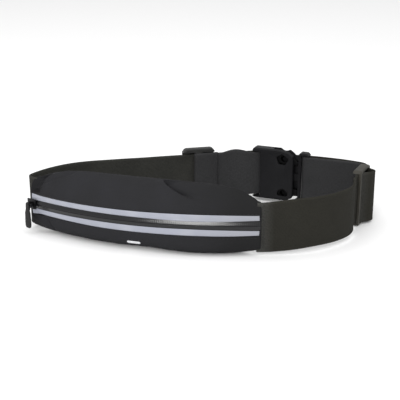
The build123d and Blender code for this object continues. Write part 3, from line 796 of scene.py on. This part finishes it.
def return_line(line, along, out, glide_along, heading, out_heading, leg):
    """The layer that turns round the buckle's bar, runs back inside the strap, goes round the
    adjuster's centre bar and is sewn down on itself leg away from the bar's middle."""
    turn_side = 1 if out_heading > heading else -1
    turn, _ = walk(line[-1], heading, [(LAYER_GAP / 2, -turn_side * 180.0)], 0.6)
    stations = np.linspace(along[-1], glide_along, 70)[1:]
    # how far inside the strap's middle the layer lies, first on its way back and then on its leg
    knots = [glide_along, glide_along + leg * 0.4, glide_along + leg + 12, along[-1] - 10, along[-1]]
    inset = smooth(stations, knots, [1.65, 1.65, 2.2, LAYER_GAP - 0.4, LAYER_GAP])
    run = at(stations, along, line) - at(stations, along, out) * inset[:, None]
    loop_runs = [LOOP_REACH, (LOOP_RADIUS, turn_side * 180.0), LOOP_REACH]
    past, _ = walk(run[-1], heading + 180, loop_runs, 0.6)
    back_stations = np.linspace(glide_along, glide_along + leg, 14)[1:]
    leg_knots = [glide_along, glide_along + 0.45 * leg, glide_along + leg]
    leg_inset = smooth(back_stations, leg_knots, [5.25, 4.6, 3.15])
    leg_run = at(back_stations, along, line) - at(back_stations, along, out) * leg_inset[:, None]
    return np.concatenate([turn, run, past[1:], leg_run])


left_return = return_line(left_line, left_along, left_out, left_glide_along, left_heading,
                          left_heading + 90, LEFT_LOOP_LEG)
right_return = return_line(right_line, right_along, right_out, right_glide_along, buckle_heading,
                           buckle_heading - 90, RIGHT_LOOP_LEG)


def left_lift(along):
    """The return layer is drawn in a little at the buckle, its upper edge rises in a slow wave on
    its way to the adjuster, and it stands taller where it goes round the adjuster's bar."""
    rise = 3.2 * bump(along, 29.0, 18.0) - 0.4 * bump(along, 47.0, 8.0)
    at_bar = 1.9 * linear_step(along, 48.0, 56.0)
    low = 1.2 * bump(along, 4.0, 34.0)
    return np.stack([low, rise + at_bar], axis=1) + edge_wander(8.0, 0.25)(along)


left_back = ribbon("left_return_webbing", left_return, RETURN_WIDTH, LOOP_WEB, RETURN, left_lift)
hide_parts("left_return_strap", "left_loop_end")
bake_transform(left_back)

right_back = ribbon("right_return_webbing", right_return, RETURN_WIDTH, LOOP_WEB, RETURN,
                    edge_wander(12.0, 0.25))
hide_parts("right_return_strap", "right_loop_end")
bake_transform(right_back)


def raised_edges(low, high, seed):
    """The lower and upper edges lifted by an amount all along."""
    wander = edge_wander(seed, 0.2)
    return lambda along: wander(along) + np.array([low, high])


# the strap's arch over each adjuster's centre bar, which rides on the adjuster: how far it stands
# out, where along the glide its crown is, and how far its lower and upper edges are raised
for body, glide, heading, out_heading, arch, crown, low, high, material in (
        ("left_adjuster", left_glide, left_heading, left_heading + 90, 2.6, 0.0, 0.0, 2.2, WEBBING_BACK),
        ("right_adjuster", right_glide, run_heading, run_heading - 90, 9.4, 3.5, -2.6, 0.3, WEBBING)):
    end_at = GLIDE_LENGTH / 2 - 1.2
    x = np.linspace(-end_at, end_at, 40)
    reach = np.where(x < crown, end_at - 1.5 + crown, end_at - 1.5 - crown)
    out = 0.35 + arch * bump(x, crown, reach) ** 0.8
    line = glide + x[:, None] * polar(1, heading) + out[:, None] * polar(1, out_heading)
    hump = ribbon(f"{body}_arch", line, STRAP_WIDTH, ARCH_WEB, material, raised_edges(low, high, 15.0))
    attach(hump, body)

# ================= stitching =================


def stitch_row(points, normals, length, gap, radius):
    """Separate thread stitches laid along a line of 3-D points: vertices and faces of short rods."""
    along = lengths(points)
    vertices, faces = [], []
    for start in np.arange(gap, along[-1] - length, length + gap):
        faces += tube_faces(len(STITCH_RINGS), STITCH_SIDES, start=len(vertices))
        for share, sink, size in STITCH_RINGS:
            place = start + share * length
            point = at(place, along, points)
            normal = at(place, along, normals)
            step = at(place + 0.1, along, points) - at(place - 0.1, along, points)
            tangent = step / max(np.linalg.norm(step), 1e-9)
            normal = normal / np.linalg.norm(normal)
            across = np.cross(tangent, normal)
            for side in range(STITCH_SIDES):
                t = math.radians(360 / STITCH_SIDES * side)
                ring = across * math.cos(t) + normal * math.sin(t)
                vertices.append(point + normal * sink * radius + ring * radius * size)
    return vertices, faces


def thread(name, rows, body):
    """One object of stitches: rows are (points, normals, length, gap, radius)."""
    vertices, faces = [], []
    for row in rows:
        more, more_faces = stitch_row(*row)
        faces += [tuple(i + len(vertices) for i in face) for face in more_faces]
        vertices += more
    obj = mesh_object(name, vertices, faces, THREAD)
    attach(obj, body)


# along both edges of the zipper, through the panels
rows = []
for grid, outward_sign in ((upper, -1), (lower, 1)):
    rows.append((grid[2:-2, 2], outward_sign * normals_of(grid)[2:-2, 2], *TOPSTITCH))
thread("zipper_topstitch", rows, "root")

# the ridge seam between the upper and back panels
ridge_row = (upper[2:-2, -2], -normals_of(upper)[2:-2, -2], *TOPSTITCH)
thread("ridge_stitch", [ridge_row], "root")

# a zigzag beside each of the pouch's ends, where the straps are sewn in
for name, line, along, side_sign in (("right", right_line, right_along, 1),
                                     ("left", left_line, left_along, -1)):
    heights = np.arange(MID_Z - SEAM_HALF, MID_Z + SEAM_HALF + 0.2, SEAM_STEP)
    points, normals = [], []
    for i, z in enumerate(heights):
        place = STRAP_TUCK + (2.0 if i % 2 else 3.3)
        xy = at(place, along, line)
        ahead = at(place + 0.5, along, line)
        tangent = (ahead - xy) / np.linalg.norm(ahead - xy)
        out = np.array([tangent[1], -tangent[0]]) * side_sign
        points.append([*(xy + out * WEB / 2), z])
        normals.append([*out, 0])
    thread(f"{name}_seam_stitch", [(np.array(points), np.array(normals), *SEAM_STITCH)], "root")

# two rows across each sewn-down loop end
for body, line, heading, out_heading, leg in (
        ("left_adjuster", left_return, left_heading, left_heading + 90, LEFT_LOOP_LEG),
        ("right_adjuster", right_return, run_heading, run_heading - 90, RIGHT_LOOP_LEG)):
    rows = []
    along = lengths(line)
    inward = -polar(1, out_heading)
    heights = np.linspace(MID_Z - LOOP_ROW_HALF, MID_Z + LOOP_ROW_HALF, 40)
    for back_off in LOOP_ROWS:
        face = at(along[-1] - back_off, along, line) + inward * LOOP_WEB / 2
        points = np.array([[*(face + polar(0.25 * math.sin(z * 0.5), heading)), z] for z in heights])
        rows.append((points, np.tile([*inward, 0], (len(heights), 1)), *LOOP_STITCH))
    thread(f"{body}_loop_stitch", rows, body)

# ================= tag, slider and pull =================

panel_steps = np.linalg.norm(np.diff(lower, axis=1), axis=2)
tag_row = int(np.argmin(np.abs(ANGLES - TAG_ANGLE)))
tag_column = int(np.argmin(np.abs(lower[tag_row, :, 2] - TAG_Z)))
lower_normals = normals_of(lower)


def on_lower(along, across):
    """A point on the lower panel, along and across from the tag's middle, and its normal."""
    row = tag_row + along / DEGREE / (ANGLES[1] - ANGLES[0])
    column = tag_column - across / panel_steps[tag_row, tag_column]
    i, j = int(row), int(column)
    a, b = row - i, column - j
    weights = ((i, j, (1 - a) * (1 - b)), (i + 1, j, a * (1 - b)),
               (i, j + 1, (1 - a) * b), (i + 1, j + 1, a * b))
    return [sum(values[r, c] * w for r, c, w in weights) for values in (lower, lower_normals)]


half_length, half_height = TAG_LENGTH / 2, TAG_HEIGHT / 2
tag_points = []
ring_shares = ((1.0, -0.1), (1.0, TAG_THICK * 0.6), (0.93, TAG_THICK), (0.6, TAG_THICK), (0.2, TAG_THICK))
for share, height in ring_shares:
    for turn in np.radians(np.arange(TAG_SIDES) * 360 / TAG_SIDES):
        middle = (half_length - half_height) * np.sign(math.cos(turn)) * min(1, abs(math.cos(turn)) * 6)
        along = middle * share + half_height * share * math.cos(turn)
        point, normal = on_lower(along, half_height * share * math.sin(turn))
        tag_points.append(point + normal * height)
tag = mesh_object("pouch_label", tag_points, tube_faces(len(ring_shares), TAG_SIDES), TAG)
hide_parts("pouch_tag")
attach(tag, "root")

# the moulded grip that hides the pull's link: a rounded plate with three ridges across it
grip_up = np.linspace(GRIP_BOTTOM, GRIP_TOP, 90)
grip_middle = (GRIP_TOP + GRIP_BOTTOM) / 2
grip_end = np.clip((np.abs(grip_up - grip_middle) - (GRIP_TOP - GRIP_BOTTOM) / 2 + 2.0) / 2.0, 0, 1)
grip_ridges = sum(bump(grip_up, ridge_at, 0.8) for ridge_at in GRIP_RIDGES)
grip_neck = 1 - linear_step(-grip_up, 3.0, 6.5)      # narrow and thin between the bridge's feet
grip_round = np.sqrt(1 - grip_end ** 2)
grip_swell = 1 + 0.10 * bump(grip_up, -14.0, 8.0) - 0.34 * grip_neck
grip_half = GRIP_WIDTH / 2 * (0.45 + 0.55 * grip_round) * grip_swell
grip_depth = GRIP_THICK / 2 * (0.35 + 0.65 * grip_round) * (1 - 0.35 * grip_neck) + 0.22 * grip_ridges
grip_turns = np.radians(np.arange(GRIP_SIDES) * 360 / GRIP_SIDES)
grip_side = polar(1, SLIDER_ANGLE + 90)
grip_points, grip_plan = [], []
for up, half, depth in zip(grip_up, grip_half, grip_depth):
    for turn in grip_turns:
        across = half * np.sign(math.cos(turn)) * abs(math.cos(turn)) ** GRIP_SQUARE
        face = depth * np.sign(math.sin(turn)) * abs(math.sin(turn)) ** GRIP_SQUARE
        xy = arc_point(SLIDER_ANGLE, BRIDGE_OUT + GRIP_OUT + face) + grip_side * across
        grip_points.append([*xy, MID_Z + up])
        grip_plan.append([up, across, face])
grip_faces = flipped(tube_faces(len(grip_up), GRIP_SIDES))
grip = mesh_object("pull_grip", grip_points, grip_faces, RUBBER, grip_plan)
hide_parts("pull_tab")
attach(grip, "zipper_pull")


def dress(node, material, width):
    """A CAD node shown as it is, with its sharp edges rounded and its own finish."""
    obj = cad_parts[node]
    obj.data.materials.clear()
    obj.data.materials.append(material)
    weld = obj.modifiers.new("weld", "WELD")
    weld.merge_threshold = 0.00001
    bevel = obj.modifiers.new("round", "BEVEL")
    bevel.width = width * MM
    bevel.segments = 3
    bevel.limit_method = "ANGLE"
    bevel.angle_limit = math.radians(35)
    bevel.use_clamp_overlap = True
    bevel.harden_normals = True
    obj.data.shade_smooth()


for node, material, width in (
        ("female_buckle", BUCKLE, 0.5), ("male_buckle", MALE_PAINTED_SHADE, 0.5), ("prong_upper", PRONG_PAINTED_SHADE, 0.4),
        ("prong_lower", PRONG_PAINTED_SHADE, 0.4), ("left_triglide", GLIDE, 0.7), ("right_triglide", GLIDE_RIGHT_LIT, 0.7),
        ("zipper_slider", METAL, 0.35), ("slider_bridge", METAL, 0.2), ("pull_link", RUBBER, 0.2),
        ("zipper_coil_upper", FILM, 0.1), ("zipper_coil_lower", FILM, 0.1),
        ("zipper_end_stops", METAL, 0.1)):
    dress(node, material, width)

# ================= stage =================

floor_mesh = bpy.data.meshes.new("floor")
floor_corners = [(-FLOOR_HALF, FLOOR_FRONT, 0), (FLOOR_HALF, FLOOR_FRONT, 0),
                 (FLOOR_HALF, FLOOR_BACK, 0), (-FLOOR_HALF, FLOOR_BACK, 0)]
floor_mesh.from_pydata(floor_corners, [], [(0, 1, 2, 3)])
floor = bpy.data.objects.new("floor", floor_mesh)
bpy.context.scene.collection.objects.link(floor)
floor_finish = Finish("floor", (0.9, 0.9, 0.9), 0.9, specular=0.1)
floor_mesh.materials.append(floor_finish.material)
floor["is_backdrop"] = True


def area_light(name, place, target, size, power):
    light = bpy.data.lights.new(name, "AREA")
    light.shape = "RECTANGLE"
    light.size, light.size_y = size
    light.energy = power
    lamp = bpy.data.objects.new(name, light)
    lamp.location = place
    lamp.rotation_euler = (Vector(target) - Vector(place)).to_track_quat("-Z", "Y").to_euler()
    bpy.context.scene.collection.objects.link(lamp)


area_light("top", (-0.2, -0.3, 1.6), (0, 0, 0), (2.2, 2.2), 14.0)
area_light("front left", (-0.30, -1.28, 0.64), (0, -0.07, 0.02), (0.60, 0.30), 9.0)

world = bpy.data.worlds.new("studio")
world.use_nodes = True
world.node_tree.nodes["Background"].inputs["Color"].default_value = (1, 1, 1, 1)
world.node_tree.nodes["Background"].inputs["Strength"].default_value = WORLD_STRENGTH
bpy.context.scene.world = world
bpy.context.scene.view_settings.view_transform = "Standard"

camera_data = bpy.data.cameras.new("camera")
camera_data.lens = CAMERA_LENS
camera_data.sensor_width = 36
camera = bpy.data.objects.new("camera", camera_data)
camera.location = CAMERA_PLACE
camera.rotation_euler = (math.radians(CAMERA_TILT), 0, 0)
bpy.context.scene.collection.objects.link(camera)
bpy.context.scene.camera = camera

low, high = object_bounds()
